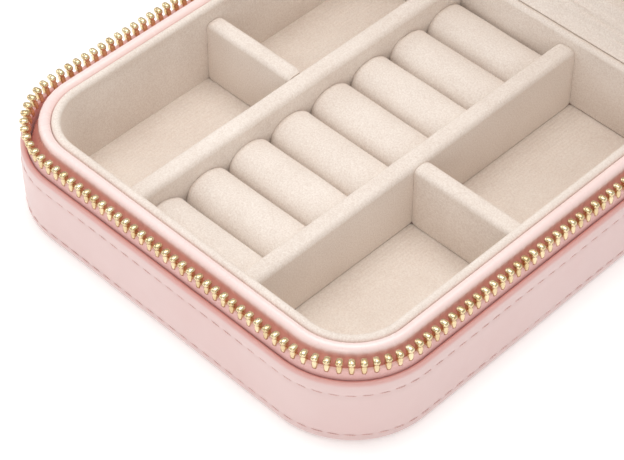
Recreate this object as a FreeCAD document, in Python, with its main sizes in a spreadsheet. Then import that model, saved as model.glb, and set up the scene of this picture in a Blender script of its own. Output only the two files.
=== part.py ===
"""Travel jewelry case: a zip-around case, lined with velvet, that opens on a soft hinge along its back.

Frame: millimetres, +Z up, origin at the middle of the underside, front of the case towards -Y.
The lid's pieces are drawn as they lie when the case is shut and are then turned open about the hinge.
"""
import FreeCAD, Part
import math
import os
import Sketcher

doc = FreeCAD.newDocument("TravelJewelryCase")
sheet = doc.addObject("Spreadsheet::Sheet", "Sizes")

DRIVING_SIZES = {
    # plan: every ring of the case is a rounded rectangle, a set distance outside the lining's
    "lining_width": 101.3,
    "lining_depth": 108.8,
    "lining_radius": 14.0,
    "lining_thickness": 2.1,
    "rim_thickness": 2.9,
    "wall_offset": 7.3,
    "wall_thickness": 1.5,
    "glue_gap": 0.05,
    # heights in the base
    "panel_thickness": 1.6,
    "panel_rounding": 1.4,
    "wall_top": 18.4,
    "rim_top": 24.0,
    "rim_rounding": 1.2,
    "lining_drop": 0.2,
    "lining_rounding": 0.9,
    "floor_thickness": 1.0,
    "hinge_wall_top": 22.0,
    "hinge_wall_thickness": 2.2,
    # dividers and ring rolls
    "divider_top": 19.8,
    "divider_rounding": 1.3,
    "long_divider_thickness": 5.0,
    "cross_divider_thickness": 4.7,
    "left_divider_place": -18.85,
    "right_divider_place": 16.35,
    "left_cross_place": 0.8,
    "right_cross_place": -0.5,
    "roll_count": 8,
    "roll_clearance": 0.1,
    # zip
    "tape_offset": 5.1,
    "tape_thickness": 0.6,
    "tape_overlap": 4.4,
    "tooth_pitch": 2.5,
    "tooth_run": 1.3,
    "tooth_thickness": 1.7,
    "tooth_height": 2.0,
    "tooth_foot": 2.8,
    "tooth_bevel": 0.3,
    "zip_end": 42.0,
    "stop_run": 1.6,
    "seam_gap": 0.2,
    # slider and pull
    "slider_place": 38.0,
    "slider_run": 9.0,
    "slider_plate": 0.7,
    "slider_channel": 2.4,
    "slider_half_height": 3.0,
    "slider_post": 0.9,
    "slider_post_run": 3.0,
    "slider_rounding": 0.6,
    "pin_radius": 0.5,
    "pin_clearance": 0.06,
    "pin_outset": 1.6,
    "pin_rise": 1.6,
    "ear_radius": 1.3,
    "ear_thickness": 0.7,
    "ear_clearance": 0.1,
    "eye_width": 1.6,
    "pull_width": 5.0,
    "pull_thickness": 1.2,
    "pull_length": 19.0,
    "pull_neck": 4.0,
    "pull_shoulder": 3.0,
    "pull_rounding": 1.5,
    # lid, measured up from the plane where the two halves meet
    "lid_height": 23.0,
    "lid_lining_offset": 2.6,
    "lid_lining_thickness": 1.8,
    "lid_lining_gap": 3.3,
    "lid_lining_rounding": 0.8,
    "lid_pad_thickness": 2.5,
    "lid_open_angle": 90.0,
    # elastic pocket in the lid
    "pocket_width": 92.0,
    "pocket_mouth": 3.0,
    "pocket_bottom": 54.0,
    "pocket_depth": 5.4,
    "cloth_thickness": 0.8,
    "elastic_width": 3.0,
    "elastic_thickness": 1.2,
    "elastic_proud": 0.2,
    # necklace strap in the lid
    "strap_width": 80.0,
    "strap_back": -29.5,
    "strap_front": -46.5,
    "strap_thickness": 1.0,
    "flap_gap": 0.9,
    "flap_thickness": 1.1,
    "flap_length": 15.5,
    "flap_inset": 1.0,
    "flap_rounding": 3.1,
    "snap_spread": 30.0,
    "snap_inset": 3.4,
    "snap_cap_radius": 3.4,
    "snap_cap_height": 1.0,
    "snap_stud_radius": 2.2,
    "snap_clearance": 0.1,
    # soft hinge
    "hinge_half_width": 36.0,
    "spine_thickness": 1.4,
    "hinge_cloth": 1.2,
    "hinge_cloth_gap": 0.3,
}

for row, (alias, value) in enumerate(DRIVING_SIZES.items(), start=1):
    sheet.set(f"A{row}", alias)
    sheet.set(f"B{row}", str(value))
    sheet.setAlias(f"B{row}", alias)
doc.recompute()


def size(alias):
    return float(sheet.get(alias))


def bound(text):
    """An expression in which every driving size is read from the sheet."""
    words = []
    for word in text.split():
        words.append(f"Sizes.{word}" if word in DRIVING_SIZES else word)
    return " ".join(words)


def number(text):
    """The value that an expression of driving sizes has now."""
    words = []
    for word in text.split():
        words.append(str(size(word)) if word in DRIVING_SIZES else word)
    return FreeCAD.Units.Quantity(" ".join(words)).Value


# ---------------------------------------------------------------- building blocks

HINGE_PLACE = "( lining_depth / 2 + wall_offset )"
SUB_PARTS = []


def hinge_point():
    return FreeCAD.Vector(0, number(HINGE_PLACE), size("rim_top"))


def opened():
    """The placement that turns a piece of the shut lid to where it stands when the case is open."""
    turn = FreeCAD.Rotation(FreeCAD.Vector(1, 0, 0), -size("lid_open_angle"))
    return FreeCAD.Placement(FreeCAD.Vector(0, 0, 0), turn, hinge_point())


def new_body(label, in_lid=False):
    body = doc.addObject("PartDesign::Body", label)
    body.Label = label
    if in_lid:
        body.Placement = opened()
    SUB_PARTS.append(body)
    return body


def new_sketch(body, name, role="XY_Plane", height="0"):
    sketch = body.newObject("Sketcher::SketchObject", name)
    plane = [feature for feature in body.Origin.OriginFeatures if feature.Role == role][0]
    sketch.AttachmentSupport = [(plane, "")]
    sketch.MapMode = "FlatFace"
    sketch.setExpression(".AttachmentOffset.Base.z", bound(height))
    return sketch


def rounded_loop(sketch, offset):
    """A closed rounded rectangle, the given distance outside the lining's outer line."""
    half_x = number(f"lining_width / 2 + {offset}")
    half_y = number(f"lining_depth / 2 + {offset}")
    radius = number(f"lining_radius + {offset}")
    across = half_x - radius
    along = half_y - radius
    corners = [(across, along, 0), (-across, along, 90), (-across, -along, 180), (across, -along, 270)]
    arcs = []
    lines = []
    for x, y, start in corners:
        circle = Part.Circle(FreeCAD.Vector(x, y, 0), FreeCAD.Vector(0, 0, 1), radius)
        arc = Part.ArcOfCircle(circle, math.radians(start), math.radians(start + 90))
        arcs.append(sketch.addGeometry(arc, False))
    ends = [
        ((across, half_y), (-across, half_y)),
        ((-half_x, along), (-half_x, -along)),
        ((-across, -half_y), (across, -half_y)),
        ((half_x, -along), (half_x, along)),
    ]
    for (x0, y0), (x1, y1) in ends:
        line = Part.LineSegment(FreeCAD.Vector(x0, y0, 0), FreeCAD.Vector(x1, y1, 0))
        lines.append(sketch.addGeometry(line, False))
    for turn in range(4):
        following = arcs[(turn + 1) % 4]
        sketch.addConstraint(Sketcher.Constraint("Tangent", arcs[turn], 2, lines[turn], 1))
        sketch.addConstraint(Sketcher.Constraint("Tangent", lines[turn], 2, following, 1))
        level = "Horizontal" if turn % 2 == 0 else "Vertical"
        sketch.addConstraint(Sketcher.Constraint(level, lines[turn]))
    for arc in arcs[1:]:
        sketch.addConstraint(Sketcher.Constraint("Equal", arcs[0], arc))
    sketch.addConstraint(Sketcher.Constraint("Symmetric", lines[0], 1, lines[2], 1, -1, 1))
    radius_index = sketch.addConstraint(Sketcher.Constraint("Radius", arcs[0], radius))
    width_index = sketch.addConstraint(Sketcher.Constraint("DistanceX", lines[1], 1, lines[3], 1, 2 * half_x))
    depth_index = sketch.addConstraint(Sketcher.Constraint("DistanceY", lines[2], 1, lines[0], 1, 2 * half_y))
    sketch.setExpression(f"Constraints[{radius_index}]", bound(f"lining_radius + {offset}"))
    sketch.setExpression(f"Constraints[{width_index}]", bound(f"lining_width + 2 * ( {offset} )"))
    sketch.setExpression(f"Constraints[{depth_index}]", bound(f"lining_depth + 2 * ( {offset} )"))


def slab(label, offset, bottom, height, in_lid=False):
    """A plate whose outline is a rounded rectangle."""
    body = new_body(label, in_lid)
    sketch = new_sketch(body, f"{label}_outline", height=bottom)
    rounded_loop(sketch, offset)
    pad = body.newObject("PartDesign::Pad", f"{label}_pad")
    pad.Profile = sketch
    pad.setExpression("Length", bound(height))
    doc.recompute()
    return body


def ring(label, outer, inner, bottom, height, in_lid=False):
    """An upright wall that follows a rounded rectangle."""
    body = new_body(label, in_lid)
    sketch = new_sketch(body, f"{label}_outline", height=bottom)
    rounded_loop(sketch, outer)
    rounded_loop(sketch, inner)
    pad = body.newObject("PartDesign::Pad", f"{label}_pad")
    pad.Profile = sketch
    pad.setExpression("Length", bound(height))
    doc.recompute()
    return body


def block(body, kind, corner, extent):
    """Adds a block to a body or cuts one out of it, from its low corner and its extent."""
    piece = body.newObject(f"PartDesign::{kind}Box", f"{body.Label}_block")
    for axis, text in zip("xyz", corner):
        piece.setExpression(f".Placement.Base.{axis}", bound(text))
    for side, text in zip(("Length", "Width", "Height"), extent):
        piece.setExpression(side, bound(text))
    doc.recompute()
    return piece


def back_gap(body, bottom, height):
    """Opens a ring at the back, where the soft hinge runs."""
    corner = ("- hinge_half_width", "lining_depth / 2 - lining_radius", bottom)
    block(body, "Subtractive", corner, ("2 * hinge_half_width", "lining_depth", height))


def round_edges(body, radius, chosen):
    """Rounds the edges of a body's last feature for which the test holds."""
    base = body.Tip
    names = []
    for index, edge in enumerate(base.Shape.Edges, start=1):
        if chosen(edge.BoundBox):
            names.append(f"Edge{index}")
    fillet = body.newObject("PartDesign::Fillet", f"{body.Label}_rounding")
    fillet.Base = (base, names)
    fillet.setExpression("Radius", bound(radius))
    doc.recompute()


def flat_at(height):
    """A test for edges that lie level at the given height."""
    return lambda box: abs(box.ZMin - height) < 0.01 and abs(box.ZMax - height) < 0.01


# ---------------------------------------------------------------- base: shell, rim and lining

WALL_INSIDE = "( wall_offset - wall_thickness )"
FLOOR_TOP = "( panel_thickness + floor_thickness )"
LINING_INSIDE = "( 0 - lining_thickness )"

bottom_panel = slab("base_bottom_panel", "wall_offset", "0", "panel_thickness")
round_edges(bottom_panel, "panel_rounding", flat_at(0))

outer_wall = ring(
    "base_outer_wall", "wall_offset", WALL_INSIDE, "panel_thickness", "wall_top - panel_thickness"
)

rim_frame = ring("rim_frame", "rim_thickness", "glue_gap", "panel_thickness", "rim_top - panel_thickness")
round_edges(rim_frame, "rim_rounding", flat_at(size("rim_top")))
back_gap(rim_frame, "panel_thickness", "rim_top")

wall_lining = ring(
    "base_wall_lining", "0", LINING_INSIDE, "panel_thickness", "rim_top - lining_drop - panel_thickness"
)
round_edges(wall_lining, "lining_rounding", flat_at(size("rim_top") - size("lining_drop")))
back_gap(wall_lining, "panel_thickness", "rim_top")

floor_lining = slab("floor_lining", "( 0 - lining_thickness - glue_gap )", "panel_thickness", "floor_thickness")

HINGE_WALL_FACE = "( lining_depth / 2 - hinge_wall_thickness )"
hinge_wall = new_body("hinge_wall")
block(
    hinge_wall,
    "Additive",
    ("glue_gap - hinge_half_width", HINGE_WALL_FACE, FLOOR_TOP),
    ("2 * ( hinge_half_width - glue_gap )", "hinge_wall_thickness", f"hinge_wall_top - {FLOOR_TOP}"),
)
round_edges(hinge_wall, "lining_rounding", flat_at(size("hinge_wall_top")))

# ---------------------------------------------------------------- base: dividers and ring rolls

LINING_FRONT = "( lining_thickness + glue_gap - lining_depth / 2 )"
STRIP_LENGTH = f"( {HINGE_WALL_FACE} - glue_gap - {LINING_FRONT} )"
SIDE_FACE = "( lining_width / 2 - lining_thickness - glue_gap )"


def divider(label, corner, extent):
    """A padded board that stands on the floor, rounded along its top."""
    body = new_body(label)
    block(body, "Additive", (*corner, FLOOR_TOP), (*extent, f"divider_top - {FLOOR_TOP}"))
    round_edges(body, "divider_rounding", long_top_edge)


def long_top_edge(box):
    long_way = max(box.XLength, box.YLength)
    return abs(box.ZMin - size("divider_top")) < 0.01 and long_way > 2 * size("long_divider_thickness")


for side in ("left", "right"):
    divider(
        f"long_divider_{side}",
        (f"{side}_divider_place - long_divider_thickness / 2", LINING_FRONT),
        ("long_divider_thickness", STRIP_LENGTH),
    )

divider(
    "cross_divider_left",
    (f"0 - {SIDE_FACE}", "left_cross_place - cross_divider_thickness / 2"),
    (
        f"{SIDE_FACE} + left_divider_place - long_divider_thickness / 2 - glue_gap",
        "cross_divider_thickness",
    ),
)
divider(
    "cross_divider_right",
    (
        "right_divider_place + long_divider_thickness / 2 + glue_gap",
        "right_cross_place - cross_divider_thickness / 2",
    ),
    (
        f"{SIDE_FACE} - right_divider_place - long_divider_thickness / 2 - glue_gap",
        "cross_divider_thickness",
    ),
)

ROLL_PITCH = f"( {STRIP_LENGTH} / roll_count )"
ROLL_RADIUS = f"( {ROLL_PITCH} / 2 - roll_clearance / 2 )"

for index in range(int(size("roll_count"))):
    roll = doc.addObject("Part::Cylinder", f"ring_roll_{index + 1}")
    roll.Label = f"ring_roll_{index + 1}"
    roll.setExpression("Radius", bound(ROLL_RADIUS))
    roll.setExpression(
        "Height", bound("right_divider_place - left_divider_place - long_divider_thickness - 2 * glue_gap")
    )
    roll.Placement.Rotation = FreeCAD.Rotation(FreeCAD.Vector(0, 1, 0), 90)
    roll.setExpression(
        ".Placement.Base.x", bound("left_divider_place + long_divider_thickness / 2 + glue_gap")
    )
    roll.setExpression(".Placement.Base.y", bound(f"{LINING_FRONT} + {ROLL_PITCH} * ( {index} + 0.5 )"))
    roll.setExpression(".Placement.Base.z", bound(f"{FLOOR_TOP} + {ROLL_RADIUS} + glue_gap"))
    SUB_PARTS.append(roll)

# ---------------------------------------------------------------- zip: two tapes and two rows of teeth

TAPE_OUTSIDE = "( tape_offset + tape_thickness )"
TAPE_BOTTOM = "( wall_top - tape_overlap )"
TAPE_EDGE = "( rim_top - tooth_foot )"
LID_FOLD = "( 2 * rim_top - wall_top )"
TOOTHED_END = "( zip_end + tooth_pitch / 2 + stop_run )"

lower_tape = ring(
    "lower_zip_tape", TAPE_OUTSIDE, "tape_offset", TAPE_BOTTOM, f"rim_top - seam_gap - {TAPE_BOTTOM}"
)
back_gap(lower_tape, "0", "2 * rim_top")
block(
    lower_tape,
    "Subtractive",
    ("0 - lining_width", f"{TOOTHED_END} - 2 * lining_depth", f"{TAPE_EDGE} - glue_gap"),
    ("2 * lining_width", "2 * lining_depth", "tooth_foot"),
)

upper_tape = ring(
    "upper_zip_tape",
    TAPE_OUTSIDE,
    "tape_offset",
    "rim_top + seam_gap",
    f"{LID_FOLD} + tape_overlap - rim_top - seam_gap",
    in_lid=True,
)
back_gap(upper_tape, "0", "3 * rim_top")
block(
    upper_tape,
    "Subtractive",
    ("0 - lining_width", f"{TOOTHED_END} - 2 * lining_depth", "rim_top"),
    ("2 * lining_width", "2 * lining_depth", "tooth_foot + glue_gap"),
)
upper_tape.Placement = opened()


def along_zip(distance):
    """Place and heading on the zip, this far from its right-hand rear end towards the left-hand one."""
    offset = size("tape_offset") + size("tape_thickness") / 2
    side = size("lining_width") / 2 + offset
    front = size("lining_depth") / 2 + offset
    radius = size("lining_radius") + offset
    straight = size("zip_end") + front - radius
    bend = radius * math.pi / 2
    middle = 2 * (side - radius)
    if distance < straight:
        return side, size("zip_end") - distance, 0
    if distance < straight + bend:
        turn = (distance - straight) / radius
        return (
            side - radius + radius * math.cos(turn),
            radius - front - radius * math.sin(turn),
            -math.degrees(turn),
        )
    if distance < straight + bend + middle / 2 + 0.001:
        return side - radius - (distance - straight - bend), -front, -90
    x, y, heading = along_zip(2 * straight + 2 * bend + middle - distance)
    return -x, y, 180 - heading


def zip_length():
    offset = size("tape_offset") + size("tape_thickness") / 2
    front = size("lining_depth") / 2 + offset
    radius = size("lining_radius") + offset
    across = size("lining_width") + 2 * offset - 2 * radius
    return 2 * (size("zip_end") + front - radius) + math.pi * radius + across


def tooth(run, foot, tip):
    """One tooth, upright between two heights, bevelled at its tip, its thickness across the tape."""
    thickness = size("tooth_thickness")
    low = min(foot, tip)
    solid = Part.makeBox(thickness, run, abs(tip - foot), FreeCAD.Vector(-thickness / 2, -run / 2, low))
    tip_edges = []
    for edge in solid.Edges:
        if abs(edge.BoundBox.ZMin - tip) < 0.01 and abs(edge.BoundBox.ZMax - tip) < 0.01:
            tip_edges.append(edge)
    return solid.makeChamfer(size("tooth_bevel"), tip_edges)


def teeth(label, foot, tip, shift, in_lid=False):
    """A row of separate teeth, evenly spaced along the zip."""
    solids = []
    distance = size("tooth_pitch") * shift
    while distance < zip_length() - size("tooth_run") / 2:
        x, y, heading = along_zip(distance)
        solid = tooth(size("tooth_run"), foot, tip)
        solid.Placement = FreeCAD.Placement(
            FreeCAD.Vector(x, y, 0), FreeCAD.Rotation(FreeCAD.Vector(0, 0, 1), heading)
        )
        solids.append(solid)
        distance += size("tooth_pitch")
    group(label, solids, in_lid)


def group(label, solids, in_lid=False):
    """Separate solids that are one kind of small piece, kept together in one sub-part."""
    feature = doc.addObject("Part::Feature", label)
    feature.Label = label
    feature.Shape = Part.makeCompound(solids)
    if in_lid:
        feature.Placement = opened()
    SUB_PARTS.append(feature)


def end_stops(label, foot, tip, in_lid=False):
    """The clamps that close both ends of a row of teeth."""
    run = size("stop_run") - 2 * size("glue_gap")
    x, y, heading = along_zip(-size("tooth_pitch") / 2 - run / 2)
    solids = []
    for side in (-1, 1):
        solid = tooth(run, foot, tip)
        solid.Placement = FreeCAD.Placement(
            FreeCAD.Vector(side * x, y, 0), FreeCAD.Rotation(FreeCAD.Vector(0, 0, 1), heading)
        )
        solids.append(solid)
    group(label, solids, in_lid)


MEETING = size("rim_top")
FOOT = size("tooth_foot")
TIP = size("tooth_foot") - size("tooth_height")
teeth("lower_zip_teeth", MEETING - FOOT, MEETING - TIP, 0.25)
teeth("upper_zip_teeth", MEETING + FOOT, MEETING + TIP, 0.75, in_lid=True)
end_stops("lower_zip_stops", MEETING - FOOT, MEETING - TIP)
end_stops("upper_zip_stops", MEETING + FOOT, MEETING + TIP, in_lid=True)

# ---------------------------------------------------------------- slider and pull

CHANNEL_MIDDLE = "( lining_width / 2 + tape_offset + tape_thickness / 2 )"
PLATE_OUTSIDE = f"( {CHANNEL_MIDDLE} + slider_channel / 2 + slider_plate )"
PIN_X = f"( {PLATE_OUTSIDE} + pin_outset )"
PIN_Z = "( rim_top + pin_rise )"

slider = new_body("zip_slider")
block(
    slider,
    "Additive",
    (
        f"{CHANNEL_MIDDLE} - slider_channel / 2 - slider_plate",
        "slider_place - slider_run / 2",
        "rim_top - slider_post / 2",
    ),
    ("slider_channel + 2 * slider_plate", "slider_post_run", "slider_post"),
)
for plate_start in (
    f"{CHANNEL_MIDDLE} - slider_channel / 2 - slider_plate",
    f"{CHANNEL_MIDDLE} + slider_channel / 2",
):
    block(
        slider,
        "Additive",
        (plate_start, "slider_place - slider_run / 2", "rim_top - slider_half_height"),
        ("slider_plate", "slider_run", "2 * slider_half_height"),
    )
round_edges(
    slider,
    "slider_rounding",
    lambda box: box.XLength > 0.5
    and box.YLength < 0.01
    and box.ZLength < 0.01
    and abs(abs(box.ZMin - MEETING) - size("slider_half_height")) < 0.01,
)
for ear_start in (
    "slider_place - eye_width / 2 - ear_clearance - ear_thickness",
    "slider_place + eye_width / 2 + ear_clearance",
):
    block(
        slider,
        "Additive",
        (f"{PLATE_OUTSIDE} - glue_gap", ear_start, f"{PIN_Z} - ear_radius"),
        ("pin_outset + ear_radius + glue_gap", "ear_thickness", "2 * ear_radius"),
    )
pin_hole = slider.newObject("PartDesign::SubtractiveCylinder", "zip_slider_pin_hole")
pin_hole.setExpression("Radius", bound("pin_radius"))
pin_hole.setExpression("Height", bound("eye_width + 4 * ear_thickness"))
pin_hole.Placement.Rotation = FreeCAD.Rotation(FreeCAD.Vector(1, 0, 0), -90)
pin_hole.setExpression(".Placement.Base.x", bound(PIN_X))
pin_hole.setExpression(".Placement.Base.y", bound("slider_place - eye_width / 2 - 2 * ear_thickness"))
pin_hole.setExpression(".Placement.Base.z", bound(PIN_Z))
doc.recompute()

pin = doc.addObject("Part::Cylinder", "pull_pin")
pin.Label = "pull_pin"
pin.setExpression("Radius", bound("pin_radius"))
pin.setExpression("Height", bound("eye_width + 2 * ear_thickness + 2 * ear_clearance"))
pin.Placement.Rotation = FreeCAD.Rotation(FreeCAD.Vector(1, 0, 0), -90)
pin.setExpression(".Placement.Base.x", bound(PIN_X))
pin.setExpression(".Placement.Base.y", bound("slider_place - eye_width / 2 - ear_clearance - ear_thickness"))
pin.setExpression(".Placement.Base.z", bound(PIN_Z))
SUB_PARTS.append(pin)

pull = new_body("pull_tab")
eye = pull.newObject("PartDesign::AdditiveCylinder", "pull_tab_eye")
eye.setExpression("Radius", bound("ear_radius"))
eye.setExpression("Height", bound("eye_width"))
eye.Placement.Rotation = FreeCAD.Rotation(FreeCAD.Vector(1, 0, 0), -90)
eye.setExpression(".Placement.Base.x", bound(PIN_X))
eye.setExpression(".Placement.Base.y", bound("slider_place - eye_width / 2"))
eye.setExpression(".Placement.Base.z", bound(PIN_Z))
doc.recompute()
block(
    pull,
    "Additive",
    (f"{PIN_X} - pull_thickness / 2", "slider_place - eye_width / 2", f"{PIN_Z} - pull_neck"),
    ("pull_thickness", "eye_width", "pull_neck"),
)
block(
    pull,
    "Additive",
    (f"{PIN_X} - pull_thickness / 2", "slider_place - pull_width / 2", f"{PIN_Z} - pull_length"),
    ("pull_thickness", "pull_width", "pull_length - pull_shoulder"),
)
round_edges(
    pull,
    "pull_rounding",
    lambda box: box.XLength > 0.5
    and box.YLength < 0.01
    and box.ZLength < 0.01
    and abs(abs(box.YMin - size("slider_place")) - size("pull_width") / 2) < 0.01,
)
bore = pull.newObject("PartDesign::SubtractiveCylinder", "pull_tab_bore")
bore.setExpression("Radius", bound("pin_radius + pin_clearance"))
bore.setExpression("Height", bound("eye_width + 2 * pin_radius"))
bore.Placement.Rotation = FreeCAD.Rotation(FreeCAD.Vector(1, 0, 0), -90)
bore.setExpression(".Placement.Base.x", bound(PIN_X))
bore.setExpression(".Placement.Base.y", bound("slider_place - eye_width / 2 - pin_radius"))
bore.setExpression(".Placement.Base.z", bound(PIN_Z))
doc.recompute()

# ---------------------------------------------------------------- lid

LID_TOP = "( rim_top + lid_height )"
LID_PANEL = f"( {LID_TOP} - panel_thickness )"
LID_LINING_OUTSIDE = "( lid_lining_offset + lid_lining_thickness )"
PAD_FACE = f"( {LID_PANEL} - lid_pad_thickness )"


top_panel = slab("lid_top_panel", "wall_offset", LID_PANEL, "panel_thickness", in_lid=True)
round_edges(top_panel, "panel_rounding", flat_at(number(LID_TOP)))

lid_wall = ring(
    "lid_outer_wall", "wall_offset", WALL_INSIDE, LID_FOLD, f"{LID_PANEL} - {LID_FOLD}", in_lid=True
)

LID_LINING_EDGE = "( rim_top + lid_lining_gap )"
lid_lining = ring(
    "lid_wall_lining",
    LID_LINING_OUTSIDE,
    "lid_lining_offset",
    LID_LINING_EDGE,
    f"{LID_PANEL} - {LID_LINING_EDGE}",
    in_lid=True,
)
round_edges(lid_lining, "lid_lining_rounding", flat_at(number(LID_LINING_EDGE)))

slab("lid_pad", "( lid_lining_offset - glue_gap )", PAD_FACE, "lid_pad_thickness", in_lid=True)

# ---------------------------------------------------------------- lid: elastic pocket

POCKET_SIDE = "( pocket_width / 2 )"
POCKET_FRONT = f"( {PAD_FACE} - pocket_depth )"
POCKET_LENGTH = "( pocket_bottom - pocket_mouth )"

pocket = new_body("elastic_pocket", in_lid=True)
block(
    pocket,
    "Additive",
    (f"0 - {POCKET_SIDE}", "pocket_mouth", POCKET_FRONT),
    ("pocket_width", POCKET_LENGTH, "pocket_depth"),
)
block(
    pocket,
    "Subtractive",
    (f"cloth_thickness - {POCKET_SIDE}", "0", f"{POCKET_FRONT} + cloth_thickness"),
    ("pocket_width - 2 * cloth_thickness", "pocket_bottom - cloth_thickness", "pocket_depth"),
)

elastic = new_body("pocket_elastic", in_lid=True)
block(
    elastic,
    "Additive",
    (f"0 - {POCKET_SIDE}", "pocket_mouth - glue_gap - elastic_width", f"{POCKET_FRONT} - elastic_proud"),
    ("pocket_width", "elastic_width", "elastic_thickness"),
)

# ---------------------------------------------------------------- lid: necklace strap, its flap and snaps

strap = new_body("necklace_strap", in_lid=True)
block(
    strap,
    "Additive",
    ("0 - strap_width / 2", "strap_front", f"{PAD_FACE} - strap_thickness"),
    ("strap_width", "strap_back - strap_front", "strap_thickness"),
)

FLAP_BACK = f"( {PAD_FACE} - strap_thickness - flap_gap )"

flap = new_body("necklace_flap", in_lid=True)
block(
    flap,
    "Additive",
    ("0 - strap_width / 2", "strap_front + flap_inset", f"{FLAP_BACK} - flap_thickness"),
    ("strap_width", "flap_length", "flap_thickness"),
)


def free_corner(box):
    return box.ZLength > 0.5 and abs(box.YMax - number("strap_front + flap_inset + flap_length")) < 0.01


round_edges(flap, "flap_rounding", free_corner)


def snaps(label, radius, bottom, height):
    """A pair of round snap halves, one near each end of the necklace strap."""
    y = number("strap_front + flap_inset + flap_length - snap_inset")
    solids = []
    for x in (-size("snap_spread"), size("snap_spread")):
        solids.append(Part.makeCylinder(radius, height, FreeCAD.Vector(x, y, bottom)))
    group(label, solids, in_lid=True)


snaps(
    "snap_studs",
    size("snap_stud_radius"),
    number(f"{FLAP_BACK} + snap_clearance"),
    size("flap_gap") - size("snap_clearance"),
)
snaps(
    "snap_caps",
    size("snap_cap_radius"),
    number(f"{FLAP_BACK} - flap_thickness - snap_cap_height"),
    size("snap_cap_height"),
)

# ---------------------------------------------------------------- soft hinge, as it lies when the case is open


def bent_strip(label, points):
    """A strip of one section, across the width of the hinge. Points are places across (Y) and up (Z)."""
    half = size("hinge_half_width") - size("glue_gap")
    corners = [FreeCAD.Vector(-half, y, z) for y, z in points]
    face = Part.Face(Part.makePolygon(corners + corners[:1]))
    feature = doc.addObject("Part::Feature", label)
    feature.Label = label
    feature.Shape = face.extrude(FreeCAD.Vector(2 * half, 0, 0))
    SUB_PARTS.append(feature)


hinge_y = number(HINGE_PLACE)
gap = size("glue_gap")
fold_reach = size("rim_top") - size("wall_top")
spine = size("spine_thickness")
bent_strip(
    "hinge_spine",
    [
        (hinge_y - spine, size("wall_top") + gap),
        (hinge_y, size("wall_top") + gap),
        (hinge_y, MEETING),
        (hinge_y + fold_reach - gap, MEETING),
        (hinge_y + fold_reach - gap, MEETING + spine),
        (hinge_y - spine, MEETING + spine),
    ],
)

lining_edge_y = hinge_y + size("lid_lining_gap") - gap
lining_knee_y = hinge_y + size("hinge_cloth")
lining_edge_z = MEETING + size("wall_offset") - size("lid_lining_offset") - size("hinge_cloth_gap")
wall_back = size("lining_depth") / 2
hinge_cloth = size("hinge_cloth")
wall_top = size("hinge_wall_top") + gap
bent_strip(
    "hinge_lining",
    [
        (wall_back - hinge_cloth, wall_top),
        (wall_back + hinge_cloth / 2, wall_top),
        (lining_knee_y, lining_edge_z - hinge_cloth),
        (lining_edge_y, lining_edge_z - hinge_cloth),
        (lining_edge_y, lining_edge_z),
        (lining_knee_y, lining_edge_z),
    ],
)

# ---------------------------------------------------------------- check and write

doc.recompute()
for item in doc.Objects:
    faults = [state for state in item.State if state in ("Invalid", "Error")]
    if faults:
        raise RuntimeError(f"{item.Label} is {faults}")
for sub_part in SUB_PARTS:
    shape = sub_part.Shape
    if shape.isNull() or not shape.isValid() or not shape.Solids:
        raise RuntimeError(f"{sub_part.Label} has no valid solid")

os.makedirs("parts", exist_ok=True)
for sub_part in SUB_PARTS:
    sub_part.Shape.exportStep(f"parts/{sub_part.Label}.step")
    box = sub_part.Shape.BoundBox
    print(
        f"{sub_part.Label:22s} solids {len(sub_part.Shape.Solids):3d}  volume {sub_part.Shape.Volume:9.1f}  "
        f"x {box.XMin:7.2f} {box.XMax:7.2f}  y {box.YMin:7.2f} {box.YMax:7.2f}  z {box.ZMin:7.2f} {box.ZMax:7.2f}"
    )
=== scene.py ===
import math

import bmesh
import bpy
from mathutils import Matrix, Vector, noise


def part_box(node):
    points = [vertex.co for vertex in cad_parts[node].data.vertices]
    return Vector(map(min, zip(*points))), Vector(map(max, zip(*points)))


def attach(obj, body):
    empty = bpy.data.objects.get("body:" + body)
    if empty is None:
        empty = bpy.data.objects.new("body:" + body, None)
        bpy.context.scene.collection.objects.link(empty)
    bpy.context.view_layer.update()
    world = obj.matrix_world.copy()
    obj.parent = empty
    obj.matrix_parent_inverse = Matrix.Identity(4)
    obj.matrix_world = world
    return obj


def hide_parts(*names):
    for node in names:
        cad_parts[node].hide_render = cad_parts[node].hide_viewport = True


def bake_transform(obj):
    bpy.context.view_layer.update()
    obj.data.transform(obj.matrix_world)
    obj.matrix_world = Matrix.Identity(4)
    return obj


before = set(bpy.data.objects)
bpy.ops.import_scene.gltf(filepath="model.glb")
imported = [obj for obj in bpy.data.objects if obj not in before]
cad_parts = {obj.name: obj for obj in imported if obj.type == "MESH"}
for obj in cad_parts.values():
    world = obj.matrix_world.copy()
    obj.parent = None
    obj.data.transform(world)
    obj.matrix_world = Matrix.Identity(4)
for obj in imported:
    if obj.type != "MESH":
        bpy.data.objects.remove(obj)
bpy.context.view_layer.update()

MM = 0.001

# ---------------------------------------------------------------- sizes read from the frame


def low(node):
    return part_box(node)[0]


def high(node):
    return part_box(node)[1]


HALF_X = high("base_wall_lining").x
HALF_Y = high("base_wall_lining").y
CORNER = 14 * MM
RIM_TOP = high("rim_frame").z
RIM_OUT = high("rim_frame").x - HALF_X
LINING_TOP = high("base_wall_lining").z
WALL_OUT = high("base_outer_wall").x - HALF_X
WALL_THICK = 1.5 * MM
WALL_TOP = high("base_outer_wall").z
PANEL_TOP = high("base_bottom_panel").z
FLOOR_TOP = high("floor_lining").z
HINGE_Y = HALF_Y + WALL_OUT
HINGE_Z = RIM_TOP
HINGE_HALF = high("hinge_spine").x
ZIP_END = low("lower_zip_stops").y - 1.25 * MM
ZIP_MIDDLE = 5.4 * MM
TOOTH_PITCH = 2.5 * MM
TOOTH_WIDTH = 1.3 * MM

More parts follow.
